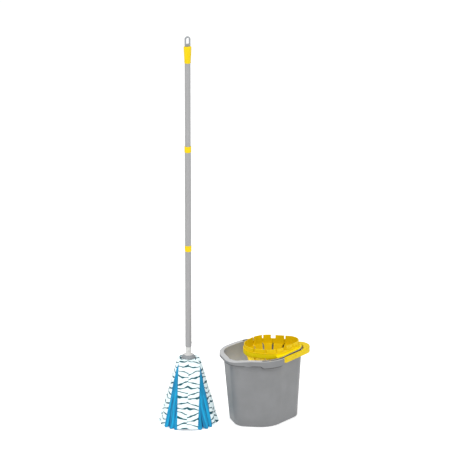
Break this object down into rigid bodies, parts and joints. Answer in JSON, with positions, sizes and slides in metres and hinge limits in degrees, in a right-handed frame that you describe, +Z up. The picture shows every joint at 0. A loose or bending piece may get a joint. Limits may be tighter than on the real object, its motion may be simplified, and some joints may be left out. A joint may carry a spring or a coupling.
{
  "type": "mop and bucket with wringer",
  "caption": "Oval plastic bucket with a folding bail and a lift-out slatted wringer basket, and a strip mop on a three-piece tube handle standing beside it.",
  "frame": {"origin": "on the floor under the bucket, at the centre of the large circle of its oval base, midway between the bail's pivots", "axes": "+X along the bucket towards its wringer end, +Y across the bucket, +Z up"},
  "size_m": [0.5344, 0.2885, 1.429],
  "materials": {
    "bucket_plastic": "satin moulded polypropylene, grey",
    "yellow_plastic": "smooth moulded polypropylene, yellow",
    "grey_plastic": "moulded plastic, light grey",
    "neck_plastic": "moulded plastic, off-white",
    "tube_paint": "thin-walled steel tube, grey lacquer",
    "screw_steel": "zinc-plated steel",
    "white_fibre": "non-woven microfibre strip, white with dark wavy stripes",
    "blue_fibre": "non-woven microfibre strip, blue"
  },
  "bodies": {
    "bucket": {"bucket_body": "bucket_plastic"},
    "bail": {"bail_handle": "yellow_plastic"},
    "wringer": {"wringer_collar": "yellow_plastic", "wringer_basket": "yellow_plastic"},
    "mop": {"grip_cap": "yellow_plastic", "upper_tube": "tube_paint", "middle_tube": "tube_paint", "lower_tube": "tube_paint", "upper_joint_collar": "yellow_plastic", "upper_joint_socket": "grey_plastic", "lower_joint_collar": "yellow_plastic", "lower_joint_socket": "grey_plastic", "neck_socket": "neck_plastic", "head_hub": "grey_plastic", "clamp_plate": "grey_plastic", "clamp_screw": "screw_steel", "white_strip_01": "white_fibre", "white_strip_02": "white_fibre", "white_strip_03": "white_fibre", "white_strip_04": "white_fibre", "white_strip_05": "white_fibre", "white_strip_06": "white_fibre", "white_strip_07": "white_fibre", "white_strip_08": "white_fibre", "white_strip_09": "white_fibre", "white_strip_10": "white_fibre", "blue_strip_01": "blue_fibre", "blue_strip_02": "blue_fibre", "blue_strip_03": "blue_fibre", "blue_strip_04": "blue_fibre", "blue_strip_05": "blue_fibre", "blue_strip_06": "blue_fibre", "blue_strip_07": "blue_fibre", "blue_strip_08": "blue_fibre", "blue_strip_09": "blue_fibre", "blue_strip_10": "blue_fibre", "blue_strip_11": "blue_fibre", "blue_strip_12": "blue_fibre", "blue_strip_13": "blue_fibre", "blue_strip_14": "blue_fibre", "blue_strip_15": "blue_fibre"},
    "hanger": {"hanger_loop": "grey_plastic"},
    "tongue": {"snap_tongue": "neck_plastic"}
  },
  "joints": [
    {"name": "bail_swing", "type": "hinge", "parent": "bucket", "child": "bail", "pos_m": [0, 0, 0.248], "axis": [0, -1, 0], "range_deg": [0, 140]},
    {"name": "wringer_lift", "type": "slide", "parent": "bucket", "child": "wringer", "axis": [0, 0, 1], "range_m": [0, 0.2]},
    {"name": "mop_lift", "type": "slide", "parent": "bucket", "child": "mop", "axis": [0, 0, 1], "range_m": [0, 0.3]},
    {"name": "hanger_swivel", "type": "hinge", "parent": "mop", "child": "hanger", "pos_m": [-0.244, 0.07, 1.39], "axis": [0, 0, 1], "continuous": true},
    {"name": "tongue_press", "type": "hinge", "parent": "mop", "child": "tongue", "pos_m": [-0.2364, 0.07, 0.2715], "axis": [0, -1, 0], "range_deg": [0, 6], "stiffness_Nm_per_rad": 0.2}
  ]
}
